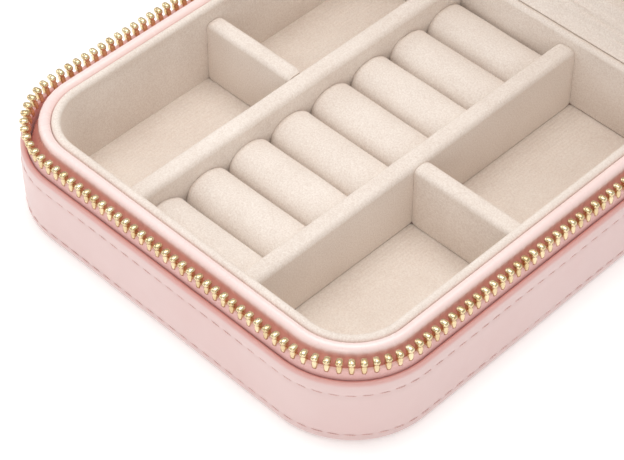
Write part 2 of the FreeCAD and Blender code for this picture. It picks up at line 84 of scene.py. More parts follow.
LID_OPEN = (
    Matrix.Translation((0, HINGE_Y, HINGE_Z))
    @ Matrix.Rotation(-math.pi / 2, 4, "X")
    @ Matrix.Translation((0, -HINGE_Y, -HINGE_Z))
)


def shut_box(node):
    """The corners of one of the lid's nodes as it lies when the case is shut."""
    first, last = (LID_OPEN.inverted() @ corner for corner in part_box(node))
    return (
        Vector(min(pair) for pair in zip(first, last)),
        Vector(max(pair) for pair in zip(first, last)),
    )


# ---------------------------------------------------------------- mesh building blocks


def add_object(name, data):
    piece = bpy.data.objects.new(name, data)
    bpy.context.scene.collection.objects.link(piece)
    return piece


def smooth(mesh):
    mesh.polygons.foreach_set("use_smooth", [True] * len(mesh.polygons))


def mesh_object(name, vertices, faces, crease=38):
    """A smooth mesh with outward faces, sharp where it turns by more than the crease angle."""
    mesh = bpy.data.meshes.new(name)
    mesh.from_pydata([tuple(point) for point in vertices], [], faces)
    work = bmesh.new()
    work.from_mesh(mesh)
    bmesh.ops.recalc_face_normals(work, faces=work.faces)
    work.to_mesh(mesh)
    work.free()
    smooth(mesh)
    mesh.set_sharp_from_angle(angle=math.radians(crease))
    return add_object(name, mesh)


def loft_parts(sections, wrap, start=0):
    """Vertices and faces through sections that are closed loops with equally many points."""
    count = len(sections[0])
    vertices = [point for section in sections for point in section]
    faces = []
    for i in range(len(sections) if wrap else len(sections) - 1):
        j = (i + 1) % len(sections)
        for k in range(count):
            after = (k + 1) % count
            corners = (i * count + k, i * count + after, j * count + after, j * count + k)
            faces.append(tuple(start + corner for corner in corners))
    if not wrap:
        faces.append(tuple(start + k for k in range(count)))
        faces.append(tuple(start + (len(sections) - 1) * count + k for k in range(count)))
    return vertices, faces


def loft(name, sections, wrap=False, crease=38):
    vertices, faces = loft_parts(sections, wrap)
    piece = mesh_object(name, vertices, faces, crease)
    flow = piece.data.attributes.new("flow", "FLOAT_VECTOR", "POINT")
    along = 0.0
    values = []
    for i, section in enumerate(sections):
        if i:
            along += (Vector(section[0]) - Vector(sections[i - 1][0])).length
        around = 0.0
        for k, point in enumerate(section):
            if k:
                around += (Vector(point) - Vector(section[k - 1])).length
            values.extend((along, around, 0.0))
    flow.data.foreach_set("vector", values)
    return piece


def merged(name, parts, crease=38):
    """One mesh from many (vertices, faces) lists."""
    vertices = []
    faces = []
    for part_vertices, part_faces in parts:
        start = len(vertices)
        vertices.extend(part_vertices)
        faces.extend(tuple(start + index for index in face) for face in part_faces)
    return mesh_object(name, vertices, faces, crease)


def mark(piece, name, value_at):
    """Stores a number at each vertex, which the piece's material reads by name."""
    attribute = piece.data.attributes.new(name, "FLOAT", "POINT")
    attribute.data.foreach_set("value", [value_at(vertex.co) for vertex in piece.data.vertices])


def nudge(piece, move):
    """Moves each vertex by what move(spot) gives."""
    for vertex in piece.data.vertices:
        vertex.co += Vector(move(vertex.co.copy()))
    piece.data.update()


def smoothly(value, start, end):
    share = min(1.0, max(0.0, (value - start) / (end - start)))
    return share * share * (3 - 2 * share)


def spread(start, end, count):
    return [start + (end - start) * index / (count - 1) for index in range(count)]


def circle(count):
    return [(math.cos(math.tau * k / count), math.sin(math.tau * k / count)) for k in range(count)]


def squarish(count, power):
    """A unit loop between a circle (power 2) and a square."""
    loop = []
    for step in range(count):
        angle = math.tau * (step + 0.5) / count
        u, v = math.cos(angle), math.sin(angle)
        stretch = (abs(u) ** power + abs(v) ** power) ** (-1 / power)
        loop.append((u * stretch, v * stretch))
    return loop


def arc(centre, radius_x, radius_y, first, last, steps=6):
    """Points (across, up) along an arc, angles in degrees."""
    points = []
    for angle in spread(math.radians(first), math.radians(last), steps):
        points.append((centre[0] + radius_x * math.cos(angle), centre[1] + radius_y * math.sin(angle)))
    return points


def rounded_outline(lowest, highest, radii, spacing=2.5 * MM, turns=8):
    """Round a rectangle with a radius at each corner: a list of (x, y, normal x, normal y).
    It goes clockwise from above. Radii are rear right, front right, front left, rear left."""
    arcs = []
    for (way_x, way_y, first), radius in zip(((1, 1, 90), (1, -1, 0), (-1, -1, -90), (-1, 1, 180)), radii):
        x = (highest if way_x > 0 else lowest)[0] - way_x * radius
        y = (highest if way_y > 0 else lowest)[1] - way_y * radius
        bend = []
        for angle in spread(math.radians(first), math.radians(first - 90), turns):
            nx, ny = math.cos(angle), math.sin(angle)
            bend.append((x + radius * nx, y + radius * ny, nx, ny))
        arcs.append(bend)
    points = []
    for index, bend in enumerate(arcs):
        points.extend(bend)
        start = bend[-1]
        end = arcs[(index + 1) % 4][0]
        run_x, run_y = end[0] - start[0], end[1] - start[1]
        pieces = max(1, round(math.hypot(run_x, run_y) / spacing))
        for step in range(1, pieces):
            share = step / pieces
            points.append((start[0] + run_x * share, start[1] + run_y * share, start[2], start[3]))
    return points


def case_outline(gap=0.0, spacing=2.0 * MM, turns=16):
    """The lining's outer line. With a gap it starts right of the gap at the back and ends left of it."""
    points = rounded_outline((-HALF_X, -HALF_Y), (HALF_X, HALF_Y), [CORNER] * 4, spacing, turns)
    if not gap:
        return points
    across = HALF_X - CORNER - MM / 100
    sides = [point for point in points if abs(point[0]) > across or point[1] < 0]
    return [(gap, HALF_Y, 0.0, 1.0), *sides, (-gap, HALF_Y, 0.0, 1.0)]


def outline_offset(spot):
    """How far a spot is outside the lining's outer line."""
    across = abs(spot.x) - (HALF_X - CORNER)
    along = abs(spot.y) - (HALF_Y - CORNER)
    return math.hypot(max(across, 0), max(along, 0)) + min(max(across, along), 0) - CORNER


def offset_point(station, offset, height):
    x, y, nx, ny = station
    return (x + nx * offset, y + ny * offset, height)


def ring(name, stations, profile, wrap=False, shape=None, crease=38):
    """Carries a closed profile of (offset, height) along the stations."""
    sections = []
    for station in stations:
        section = []
        for offset, height in profile:
            if shape:
                offset, height = shape(station, offset, height)
            section.append(offset_point(station, offset, height))
        sections.append(section)
    return loft(name, sections, wrap, crease)


def domed(outline, levels, crown, rings=(0.97, 0.92, 0.84, 0.72, 0.56, 0.38, 0.2, 0.08)):
    """Loops round an outline at (offset, height) levels, and then in to the middle under a crown."""
    sections = [[offset_point(station, offset, height) for station in outline] for offset, height in levels]
    edge = sections[-1]
    middle_x = sum(point[0] for point in edge) / len(edge)
    middle_y = sum(point[1] for point in edge) / len(edge)
    for share in rings:
        rise = crown * (1 - share ** 2.5)
        loop = []
        for x, y, z in edge:
            loop.append((middle_x + (x - middle_x) * share, middle_y + (y - middle_y) * share, z + rise))
        sections.append(loop)
    return sections


def evenly(stations, offset, pitch):
    """Evenly spaced (x, y, normal x, normal y) at an offset from a closed line of stations."""
    closed = [*stations, stations[0]]
    places = [offset_point(station, offset, 0) for station in closed]
    normals = [station[2:] for station in closed]
    lengths = [0.0]
    for before, after in zip(places, places[1:]):
        lengths.append(lengths[-1] + math.dist(before, after))
    count = int(lengths[-1] / pitch)
    real_pitch = lengths[-1] / count
    spaced = []
    index = 0
    for step in range(count):
        distance = (step + 0.5) * real_pitch
        while lengths[index + 1] < distance:
            index += 1
        share = (distance - lengths[index]) / (lengths[index + 1] - lengths[index])
        spot = Vector(places[index]).lerp(Vector(places[index + 1]), share)
        normal = Vector(normals[index]).lerp(Vector(normals[index + 1]), share).normalized()
        spaced.append((spot.x, spot.y, normal.x, normal.y))
    return spaced


def stitch(centre, along, outward, length=2.7 * MM, radius=0.14 * MM):
    """One stitch of thread: a thin rod whose ends dip into the leather."""
    side = along.cross(outward).normalized()
    sections = []
    for share in (-1.0, -0.93, -0.7, -0.3, 0.3, 0.7, 0.93, 1.0):
        dip = -0.9 * radius - 1.7 * radius * share ** 4
        width = radius * (1 - 0.55 * share ** 6)
        middle = centre + along * (length / 2 * share) + outward * (dip + radius * 1.15)
        sections.append([middle + side * (width * u) + outward * (width * v) for u, v in circle(7)])
    return loft_parts(sections, False)


def case_stitches(name, rows, pitch=3.5 * MM):
    """Rows of stitches round the case: rows are (offset, height)."""
    parts = []
    for offset, height in rows:
        for x, y, nx, ny in evenly(case_outline(), offset, pitch):
            outward = Vector((nx, ny, 0))
            along = Vector((ny, -nx, 0.05)).normalized()
            parts.append(stitch(Vector((x, y, height)), along, outward))
    return merged(name, parts)


def place(piece, material, body, *nodes):
    """Gives a piece its material and its body, and hides the CAD nodes that it stands for.
    Pieces of the lid and its flap are drawn shut, so they are turned open here."""
    if body in ("lid", "necklace_flap"):
        piece.data.transform(LID_OPEN)
    piece.data.materials.append(material)
    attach(piece, body)
    if nodes:
        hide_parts(*nodes)
    return piece


# ---------------------------------------------------------------- materials


def linear(red, green, blue):
    """A colour given in display values from 0 to 255."""
    values = []
    for value in (red, green, blue):
        share = value / 255
        values.append(share / 12.92 if share <= 0.04045 else ((share + 0.055) / 1.055) ** 2.4)
    return (*values, 1.0)


class Finish:
    """A Principled material, with short ways to add and join its nodes."""

    def __init__(self, name, **constants):
        self.material = bpy.data.materials.new(name)
        self.material.use_nodes = True
        self.tree = self.material.node_tree
        self.surface = self.tree.nodes["Principled BSDF"]
        for socket, value in constants.items():
            self.surface.inputs[socket.replace("_", " ")].default_value = value
        self.normal = None

    def feed(self, socket, value):
        if isinstance(value, bpy.types.NodeSocket):
            self.tree.links.new(value, socket)
        else:
            socket.default_value = value

    def node(self, kind, output=0, **values):
        node = self.tree.nodes.new("ShaderNode" + kind)
        for key, value in values.items():
            socket = node.inputs.get(key.replace("_", " "))
            if socket is None:
                setattr(node, key, value)
            else:
                self.feed(socket, value)
        return node.outputs[output]

    def math(self, operation, first, second=0.0):
        node = self.tree.nodes.new("ShaderNodeMath")
        node.operation = operation
        self.feed(node.inputs[0], first)
        self.feed(node.inputs[1], second)
        return node.outputs[0]

    def sine(self, value, turns):
        return self.math("SINE", self.math("MULTIPLY", value, turns))

    def add(self, first, second, share=1.0):
        """The first value plus a share of the second."""
        return self.math("ADD", first, self.math("MULTIPLY", second, share))

    def mix(self, factor, first, second):
        node = self.tree.nodes.new("ShaderNodeMix")
        node.data_type = "RGBA"
        self.feed(node.inputs[0], factor)
        self.feed(node.inputs[6], first)
        self.feed(node.inputs[7], second)
        return node.outputs[2]

    def parts(self, vector):
        node = self.tree.nodes.new("ShaderNodeSeparateXYZ")
        self.feed(node.inputs[0], vector)
        return node.outputs

    def ramp(self, value, start, end, start_to=0.0, end_to=1.0):
        return self.node(
            "MapRange", Value=value, From_Min=start, From_Max=end, To_Min=start_to, To_Max=end_to
        )

    def place(self):
        return self.node("TexCoord", output=3)

    def stored(self, name, output=2):
        return self.node("Attribute", output=output, attribute_name=name)

    def noise(self, scale, detail=3.0, roughness=0.5):
        return self.node("TexNoise", Vector=self.place(), Scale=scale, Detail=detail, Roughness=roughness)

    def bump(self, height, depth, strength=1.0):
        values = {"Height": height, "Distance": depth, "Strength": strength}
        if self.normal:
            values["Normal"] = self.normal
        self.normal = self.node("Bump", **values)

    def join(self, socket, value):
        self.tree.links.new(value, self.surface.inputs[socket])

    def tint(self, factor, first, second):
        self.join("Base Color", self.mix(factor, first, second))

    def done(self):
        if self.normal:
            self.join("Normal", self.normal)
        return self.material


def leather(name, pale, warm, rough, coat):
    """Smooth coated leather cloth: a fine pebble grain, faint clouding, and a warmer, darker salmon tone set
    per vertex, which is painted shade in folds and the groove and edge paint on a folded edge.
    """
    finish = Finish(name, Coat_Weight=coat, Coat_Roughness=0.16, Specular_IOR_Level=0.5)
    clouds = finish.noise(45, 4)
    tone = finish.mix(finish.ramp(clouds, 0.3, 0.7, 0.0, 0.5), pale, [c * 0.93 for c in pale[:3]] + [1.0])
    uneven = finish.ramp(clouds, 0.3, 0.7, -0.06, 0.06)
    # painted shade and edge paint: the stored per-vertex value, made a little uneven, mixes in the warmer
    # salmon tone
    fold = finish.ramp(finish.math("ADD", finish.stored("edge_paint_and_shade"), uneven), 0, 1)
    finish.tint(fold, tone, warm)
    pebbles = finish.node("TexVoronoi", Vector=finish.place(), Scale=2600.0, feature="SMOOTH_F1")
    grain = finish.noise(5200, 2)
    finish.bump(finish.add(pebbles, grain, 0.4), 0.012 * MM, 0.5)
    finish.bump(finish.noise(120, 2), 0.06 * MM, 0.25)
    finish.join("Roughness", finish.ramp(finish.noise(300, 3), 0.25, 0.75, rough - 0.06, rough + 0.08))
    return finish.done()


def velvet(name, light, dark, rib=0.0):
    """Short-pile velvet: fine fibres, brushed patches and a soft sheen."""
    finish = Finish(
        name, Roughness=0.9, Specular_IOR_Level=0.15,
        Sheen_Weight=0.35, Sheen_Roughness=0.45, Sheen_Tint=linear(255, 246, 236),
    )
    fibres = finish.noise(2600, 4, roughness=0.7)
    brushed = finish.noise(70, 3)
    patches = finish.ramp(brushed, 0.3, 0.7, 0.0, 0.25)
    shade = finish.add(patches, finish.ramp(fibres, 0.32, 0.7), 0.75)
    finish.tint(shade, dark, light)
    finish.bump(fibres, 0.09 * MM, 0.5)
    finish.bump(finish.noise(420, 3), 0.12 * MM, 0.3)
    if rib:
        wave = finish.node("TexWave", Vector=finish.place(), Scale=rib, Distortion=1.5, Detail=1.0)
        finish.bump(wave, 0.08 * MM, 0.6)
    return finish.done()


def woven(name, light, dark, pitch=0.42 * MM):
    """Zip tape: a close herringbone-like weave that follows the tape."""
    finish = Finish(name, Roughness=0.75, Sheen_Weight=0.15)
    along, around, _ = finish.parts(finish.stored("flow", output=1))
    turns = math.tau / pitch
    weave = finish.math("MULTIPLY", finish.sine(along, turns), finish.sine(around, turns * 1.3))
    threads = finish.ramp(weave, -1, 1, 0.0, 0.7)
    height = finish.add(threads, finish.noise(3000, 3), 0.5)
    finish.tint(height, dark, light)
    finish.bump(height, 0.09 * MM, 0.8)
    return finish.done()


def ribbed_elastic(name, light, dark, pitch=0.9 * MM):
    finish = Finish(name, Roughness=0.8, Sheen_Weight=0.2)
    ribs = finish.ramp(finish.sine(finish.parts(finish.place())[0], math.tau / pitch), -1, 1, 0.0, 0.8)
    height = finish.add(ribs, finish.noise(3500, 3), 0.3)
    finish.tint(height, dark, light)
    finish.bump(height, 0.15 * MM, 0.8)
    return finish.done()


def polished_metal(name, bright, tarnished, rough):
    """Plated metal: a thin film with fine scratches and duller patches."""
    finish = Finish(name, Metallic=1.0)
    patches = finish.noise(260, 4)
    finish.tint(finish.ramp(patches, 0.35, 0.7), bright, tarnished)
    scratches = finish.noise(1800, 4, roughness=0.65)
    finish.join("Roughness", finish.ramp(scratches, 0.3, 0.7, rough - 0.06, rough + 0.12))
    finish.bump(scratches, 0.01 * MM, 0.4)
    return finish.done()


def thread(name, light, dark):
    finish = Finish(name, Roughness=0.55, Sheen_Weight=0.1)
    twist = finish.node(
        "TexWave", Vector=finish.place(), Scale=900.0, Distortion=2.0, bands_direction="DIAGONAL"
    )
    finish.tint(twist, dark, light)
    finish.bump(twist, 0.04 * MM, 0.8)
    return finish.done()


PALE_PINK = linear(224, 197, 194)
# the shell's warmer salmon: painted shade for its hidden inner face, and edge paint along its folded edge
SHADE_AND_EDGE_SALMON = linear(224, 152, 142)
SHELL = leather("shell_leather_pink", PALE_PINK, SHADE_AND_EDGE_SALMON, 0.40, 0.22)
# the rim's second colour is the salmon of painted shade down its sides into the groove
RIM = leather("rim_leather_pink", linear(249, 224, 220), linear(242, 174, 160), 0.26, 0.4)
VELVET = velvet("lining_velvet_cream", linear(246, 238, 230), linear(216, 201, 189))
FLOOR_VELVET = velvet("floor_velvet_cream", linear(247, 238, 228), linear(221, 204, 191), rib=330.0)
TAPE = woven("zip_tape_pink", linear(247, 210, 205), linear(220, 160, 153))
ELASTIC = ribbed_elastic("pocket_elastic_cream", linear(238, 226, 214), linear(205, 186, 168))
GOLD = polished_metal("zip_gold", linear(236, 220, 184), linear(206, 180, 134), 0.2)
THREAD = thread("pink_thread", linear(227, 194, 189), linear(212, 170, 164))
CREAM_THREAD = thread("cream_thread", linear(226, 212, 196), linear(190, 170, 150))

# ---------------------------------------------------------------- leather shells, base and lid

# distances from the folded edge
STITCH_ROWS = (3.4 * MM, 15.9 * MM)
LID_STITCH_ROWS = (3.4 * MM, 14.9 * MM)
EDGE_ROUND = 1.4 * MM


def shell(name, fold, end, crown):
    """Half of the case: a wall that stands from the folded edge by the zip to a closed panel."""
    way = 1 if end > fold else -1
    tall = abs(end - fold)
    inside = WALL_OUT - WALL_THICK
    levels = [(inside, tall - 1.6 * MM), (inside, tall / 2), (inside, 1.2 * MM)]
    levels += arc((WALL_OUT - WALL_THICK / 2, 0.7 * MM), WALL_THICK / 2, 0.7 * MM, 180, 360, 9)
    for depth in spread(1.0 * MM, tall - EDGE_ROUND, 34):
        groove = sum(0.16 * MM * math.exp(-(((depth - row) / (0.5 * MM)) ** 2)) for row in STITCH_ROWS)
        belly = 0.22 * MM * math.sin(math.pi * depth / tall)
        levels.append((WALL_OUT - groove + belly, depth))
    levels += arc((WALL_OUT - EDGE_ROUND, tall - EDGE_ROUND), EDGE_ROUND, EDGE_ROUND, 10, 90, 7)
    seam = WALL_OUT - 4.2 * MM
    levels += [(seam + 1.2 * MM, tall), (seam, tall - 0.12 * MM), (seam - 1.2 * MM, tall)]
    heights = [(offset, fold + way * depth) for offset, depth in levels]
    piece = loft(name, domed(case_outline(), heights, way * crown))

    # painted shade on the wall's inner face beside the tape, and a thin band of edge paint along the folded
    # edge outside
    def edge_paint_and_shade(spot):
        depth = abs(spot.z - fold)
        outer = outline_offset(spot) > inside + 0.5 * MM or depth > tall - MM
        return 0.55 * (1 - smoothly(depth, 0.1 * MM, 0.9 * MM)) if outer else 0.8

    mark(piece, "edge_paint_and_shade", edge_paint_and_shade)

    def ripple(spot):
        if abs(spot.z - fold) > tall - 0.1 * MM:
            return (0, 0, 0)
        return Vector((spot.x, spot.y, 0)).normalized() * (0.12 * MM * noise.noise(spot * 55))

    nudge(piece, ripple)
    return piece


place(shell("base_shell", WALL_TOP, 0.0, 0.0), SHELL, "base", "base_outer_wall", "base_bottom_panel")
LID_FOLD = shut_box("lid_outer_wall")[0].z
LID_TOP = shut_box("lid_top_panel")[1].z
place(shell("lid_shell", LID_FOLD, LID_TOP, 0.9 * MM), SHELL, "lid", "lid_outer_wall", "lid_top_panel")
WALL_FACE = WALL_OUT - 0.02 * MM
base_rows = [(WALL_FACE, WALL_TOP - row) for row in STITCH_ROWS]
place(case_stitches("base_stitches", base_rows), THREAD, "base")
lid_rows = [(WALL_FACE, LID_FOLD + row) for row in LID_STITCH_ROWS]
place(case_stitches("lid_stitches", lid_rows), THREAD, "lid")

# ---------------------------------------------------------------- rim and linings

GAP = 36 * MM
OPEN_OUTLINE = case_outline(gap=GAP)


def rim():
    """The glossy padded rim, half round on top, gathered a little on its outer side."""
    crown = 1.5 * MM
    gather_pitch = 1.9 * MM
    inner = 0.05 * MM
    profile = [(inner, PANEL_TOP), (inner, RIM_TOP - 6 * MM), (inner, RIM_TOP - crown)]
    profile += arc(((inner + RIM_OUT) / 2, RIM_TOP - crown), (RIM_OUT - inner) / 2, crown, 172, 8, 13)
    profile += [(RIM_OUT, RIM_TOP - crown)]
    profile += [(RIM_OUT, height) for height in spread(RIM_TOP - 2.2 * MM, RIM_TOP - 8 * MM, 12)]
    profile += [(RIM_OUT, PANEL_TOP)]

    def gathered(station, offset, height):
        if offset < RIM_OUT * 0.7:
            return offset, height
        offset += 1.95 * MM * smoothly(RIM_TOP - height, 1.6 * MM, 7.0 * MM)
        run = station[1] if abs(station[3]) < 0.7 else station[0]
        depth = smoothly(RIM_TOP - height, 0.6 * MM, 2.4 * MM)
        side = 1.0 if station[2] > 0.5 else 0.35
        return offset - depth * side * 0.10 * MM * (1 + math.sin(run * math.tau / gather_pitch)), height

    stations = case_outline(gap=GAP, spacing=0.45 * MM, turns=40)
    piece = ring("rim", stations, profile, shape=gathered)
    # painted shade: the rim turns warmer and darker down its outer side into the groove
    mark(piece, "edge_paint_and_shade", lambda spot: smoothly(RIM_TOP - spot.z, 0.5 * MM, 2.4 * MM))
    return piece


place(rim(), RIM, "base", "rim_frame")


def wall_lining_profile(outer, inner, edge, far, roll):
    """A lining board whose cloth turns over its edge in a soft roll; heights run from edge to far."""
    way = 1 if far > edge else -1
    middle = (outer + inner) / 2
    half = (outer - inner) / 2
    profile = [(outer, far), (outer, edge + way * 3 * roll)]
    profile += [(middle + x, edge + way * (roll - y)) for x, y in arc((0, 0), half, roll, 0, 180, 13)]
    profile += [(inner, edge + way * 1.6 * roll), (inner + 0.14 * MM, edge + way * 2.4 * roll)]
    profile += [(inner + 0.05 * MM, edge + way * 3.6 * roll), (inner, far)]
    return profile


LINING_IN = low("cross_divider_left").x + HALF_X - 0.05 * MM
base_lining_profile = wall_lining_profile(0.0, -LINING_IN, LINING_TOP, PANEL_TOP, 1.05 * MM)
place(ring("base_wall_cloth", OPEN_OUTLINE, base_lining_profile), VELVET, "base", "base_wall_lining")
lid_lining_low, lid_lining_high = shut_box("lid_wall_lining")
LID_LINING_OUT = lid_lining_high.x - HALF_X
LID_LINING_IN = 2.6 * MM
lid_lining_profile = wall_lining_profile(
    LID_LINING_OUT, LID_LINING_IN, lid_lining_low.z, lid_lining_high.z, 0.9 * MM
)
lid_lining = ring("lid_wall_cloth", case_outline(), lid_lining_profile, wrap=True)
place(lid_lining, VELVET, "lid", "lid_wall_lining")


def slab_levels(bottom, top, edge, steps=4):
    """Levels up a slab's side, rounded at both edges."""
    levels = [(-edge + x, bottom + edge + y) for x, y in arc((0, 0), edge, edge, -90, 0, steps)]
    levels += [(-edge + x, top - edge + y) for x, y in arc((0, 0), edge, edge, 0, 90, steps)]
    return levels


def floor_panel(name, x_range, y_range, outer_corner):
    """A cloth-covered card on the floor of one compartment, its edges a little way under the boards."""
    radii = [0.8 * MM] * 4
    if outer_corner is not None:
        radii[outer_corner] = CORNER - LINING_IN - 0.3 * MM
    under = 0.45 * MM
    outline = rounded_outline(
        (x_range[0] - under, y_range[0] - under), (x_range[1] + under, y_range[1] + under), radii
    )
    piece = loft(name, domed(outline, slab_levels(PANEL_TOP, FLOOR_TOP - 0.1 * MM, 0.35 * MM), 0.1 * MM))
    face = FLOOR_TOP - 0.2 * MM
    nudge(piece, lambda spot: (0, 0, 0.05 * MM * noise.noise(spot * 90) if spot.z > face else 0))
    return piece


def span(node, axis):
    return tuple(corner[axis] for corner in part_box(node))


front_y, rear_y = span("long_divider_left", 1)
cards = []
for side, front_corner, rear_corner in (("left", 2, 3), ("right", 1, 0)):
    divider = "cross_divider_" + side
    near_y, far_y = span(divider, 1)
    cards.append(floor_panel("floor_front_" + side, span(divider, 0), (front_y, near_y), front_corner))
    cards.append(floor_panel("floor_rear_" + side, span(divider, 0), (far_y, rear_y), rear_corner))
cards.append(floor_panel("floor_ring_bay", span("ring_roll_1", 0), (front_y, rear_y), None))
for card in cards:
    place(card, FLOOR_VELVET, "base", "floor_lining")

# ---------------------------------------------------------------- dividers, hinge wall and ring rolls


def board(name, node, top_round, seed):
    """A padded board: straight sides, a rounded top, its cloth pulled in where its ends meet the walls."""
    lowest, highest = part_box(node)
    size = highest - lowest
    lengthwise = 0 if size.x > size.y else 1
    across = 1 - lengthwise
    half = size[across] / 2
    middle = (lowest[across] + highest[across]) / 2
    profile = [(half - 0.15 * MM, 0.0), (half, 0.6 * MM), (half, size.z / 2)]
    profile += arc((half - top_round, size.z - top_round), top_round, top_round, 0, 88, 7)
    profile += [(0.0, size.z + 0.08 * MM)]
    profile += arc((top_round - half, size.z - top_round), top_round, top_round, 92, 180, 7)
    profile += [(-half, size.z / 2), (-half, 0.6 * MM), (0.15 * MM - half, 0.0)]
    sections = []
    count = max(8, round(size[lengthwise] / (1.6 * MM)))
    tucks = [0.25 * MM / size[lengthwise], 0.6 * MM / size[lengthwise]]
    shares = spread(0, 1, count + 1)
    shares = shares[:1] + tucks + shares[1:-1] + [1 - tuck for tuck in reversed(tucks)] + shares[-1:]
    for share in shares:
        near_end = min(share, 1 - share) * size[lengthwise]
        pinch = 1 - 0.10 * (1 - smoothly(near_end, 0, 0.9 * MM))
        section = []
        for side, height in profile:
            spot = [0.0, 0.0, lowest.z + height * (1 - (1 - pinch) * 0.35)]
            spot[lengthwise] = lowest[lengthwise] + size[lengthwise] * share
            spot[across] = middle + side * pinch
            wander = 0.1 * MM * noise.noise(Vector(spot) * 140 + Vector((seed, 0, 0)))
            if height > size.z / 2:
                spot[2] += wander
            section.append(tuple(spot))
        sections.append(section)
    return loft(name, sections, crease=60)


for seed, label in enumerate(
    ("long_divider_left", "long_divider_right", "cross_divider_left", "cross_divider_right")
):
    piece = place(board(label + "_cloth", label, 1.45 * MM, seed), VELVET, "base", label)
place(board("hinge_wall_cloth", "hinge_wall", 1.0 * MM, 9), VELVET, "base", "hinge_wall")


def ring_roll(name, node, seed):
    """A foam roll in velvet: full in the middle, its cloth drawn in a little at the ends."""
    lowest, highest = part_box(node)
    middle = (lowest + highest) / 2
    radius = (highest.z - lowest.z) / 2
    length = highest.x - lowest.x
    sections = []
    ends = [0.0, 0.006, 0.014, 0.025, 0.04, 0.065]
    shares = ends + spread(0.1, 0.9, 15) + [1 - share for share in reversed(ends)]
    for share in shares:
        near_end = min(share, 1 - share) * length
        draw = 1 - 0.10 * (1 - smoothly(near_end, -0.2 * MM, 1.3 * MM)) ** 1.5
        section = []
        for turn in range(48):
            angle = math.tau * turn / 48
            across, up = math.cos(angle), math.sin(angle)
            full = (abs(across) ** 2.3 + abs(up) ** 2.3) ** (-1 / 2.3)
            spot = Vector((lowest.x + length * share, middle.y, middle.z))
            wander = noise.noise(Vector((share * 2.2 + seed * 7, across * 1.3, up * 1.3)))
            pucker = noise.noise(Vector((share * 9 + seed, angle * 2.2, seed)))
            pucker *= 1 - smoothly(near_end, 0, 6 * MM)
            reach = radius * draw * full * 0.985 + 0.16 * MM * wander + 0.16 * MM * pucker
            spot += Vector((0, across, up)) * reach
            spot.z = max(spot.z, lowest.z)
            section.append(spot)
        sections.append(section)
    return loft(name, sections, crease=60)


for index in range(1, 9):
    label = f"ring_roll_{index}"
    piece = place(ring_roll(label + "_cloth", label, index), VELVET, "base", label)

# ---------------------------------------------------------------- zip tapes, teeth and stops


ZIP_RADIUS = CORNER + ZIP_MIDDLE
ZIP_SIDE = ZIP_END + HALF_Y - CORNER
ZIP_BEND = ZIP_RADIUS * math.pi / 2
ZIP_LENGTH = 2 * (ZIP_SIDE + ZIP_BEND + HALF_X - CORNER)


def zip_place(distance):
    """Place and outward normal on the zip, this far from its right-hand rear end round to the left."""
    if distance > ZIP_LENGTH / 2 + MM / 1000:
        x, y, nx, ny = zip_place(ZIP_LENGTH - distance)
        return -x, y, -nx, ny
    past_side = distance - ZIP_SIDE
    if past_side < 0:
        return HALF_X + ZIP_MIDDLE, ZIP_END - distance, 1.0, 0.0
    if past_side < ZIP_BEND:
        nx, ny = math.cos(past_side / ZIP_RADIUS), -math.sin(past_side / ZIP_RADIUS)
        return HALF_X - CORNER + ZIP_RADIUS * nx, CORNER - HALF_Y + ZIP_RADIUS * ny, nx, ny
    return HALF_X - CORNER - (past_side - ZIP_BEND), -HALF_Y - ZIP_MIDDLE, 0.0, -1.0


BEAD_LOOP = circle(8)
BEAD_HEIGHT = 2.38 * MM
TOOTH_LOOP = squarish(14, 3.2)
# height above the foot, half width along the row and half thickness across it, all in mm
TOOTH_LEVELS = [
    (-0.95, 0.44, 0.66), (-0.82, 0.56, 0.80), (-0.40, 0.62, 0.86), (0.85, 0.63, 0.86), (1.15, 0.50, 0.72),
    (1.35, 0.52, 0.76), (1.62, 0.76, 0.98), (2.05, 0.80, 1.04), (2.32, 0.70, 0.92), (2.50, 0.46, 0.68),
    (2.56, 0.24, 0.45),
]


def metal_piece(levels, x, y, along, outward, foot, way, lean=0.0):
    """A tooth's or a stop's body, through levels like those above; it leans outward by its top."""
    sections = []
    for height, half_run, half_thick in levels:
        tip_share = max(0.0, height / levels[-1][0])
        middle = Vector((x, y, foot + way * height * MM)) + outward * (lean * tip_share)
        run, thick = along * (half_run * MM), outward * (half_thick * MM)
        sections.append([middle + run * u + thick * v for u, v in TOOTH_LOOP])
    return loft_parts(sections, False)


def tooth(spot, foot, way, lean):
    """One tooth: rounded feet that clamp the tape, a narrow waist, and a domed head with a bead on it."""
    x, y, nx, ny = spot
    outward = Vector((nx, ny, 0))
    body = metal_piece(TOOTH_LEVELS, x, y, Vector((ny, -nx, 0)), outward, foot, way, lean)
    bead_centre = Vector((x, y, foot + way * BEAD_HEIGHT)) + outward * lean
    bead = []
    for angle in spread(-80, 80, 6):
        level = math.radians(angle)
        reach = 0.33 * MM * math.cos(level)
        rise = way * 0.24 * MM * math.sin(level)
        bead.append([bead_centre + Vector((reach * u, reach * v, rise)) for u, v in BEAD_LOOP])
    return [body, loft_parts(bead, False)]


def tooth_lean(nx, ny):
    """The base's row isn't quite upright: it leans out at the left and front and in at the right."""
    return (0.75 * max(0.0, -nx) - 0.12 * max(0.0, nx) + 0.25 * max(0.0, -ny)) * MM


def tooth_row(name, foot, way, shift, leaning):
    parts = []
    distance = TOOTH_PITCH * shift
    while distance < ZIP_LENGTH - TOOTH_WIDTH / 2:
        spot = zip_place(distance)
        parts.extend(tooth(spot, foot, way, leaning * tooth_lean(spot[2], spot[3])))
        distance += TOOTH_PITCH
    return merged(name, parts, crease=50)


STOP_LEVELS = [(0, 0.5, 0.6), (0.12, 0.68, 0.78), (1.8, 0.68, 0.78), (2.0, 0.5, 0.55)]


def stops(name, foot, way):
    """A folded metal clamp at each end of a row."""
    parts = []
    for x in (-HALF_X - ZIP_MIDDLE, HALF_X + ZIP_MIDDLE):
        along, outward = Vector((0, 1, 0)), Vector((1, 0, 0))
        parts.append(metal_piece(STOP_LEVELS, x, ZIP_END + 2.0 * MM, along, outward, foot, way))
    return merged(name, parts)


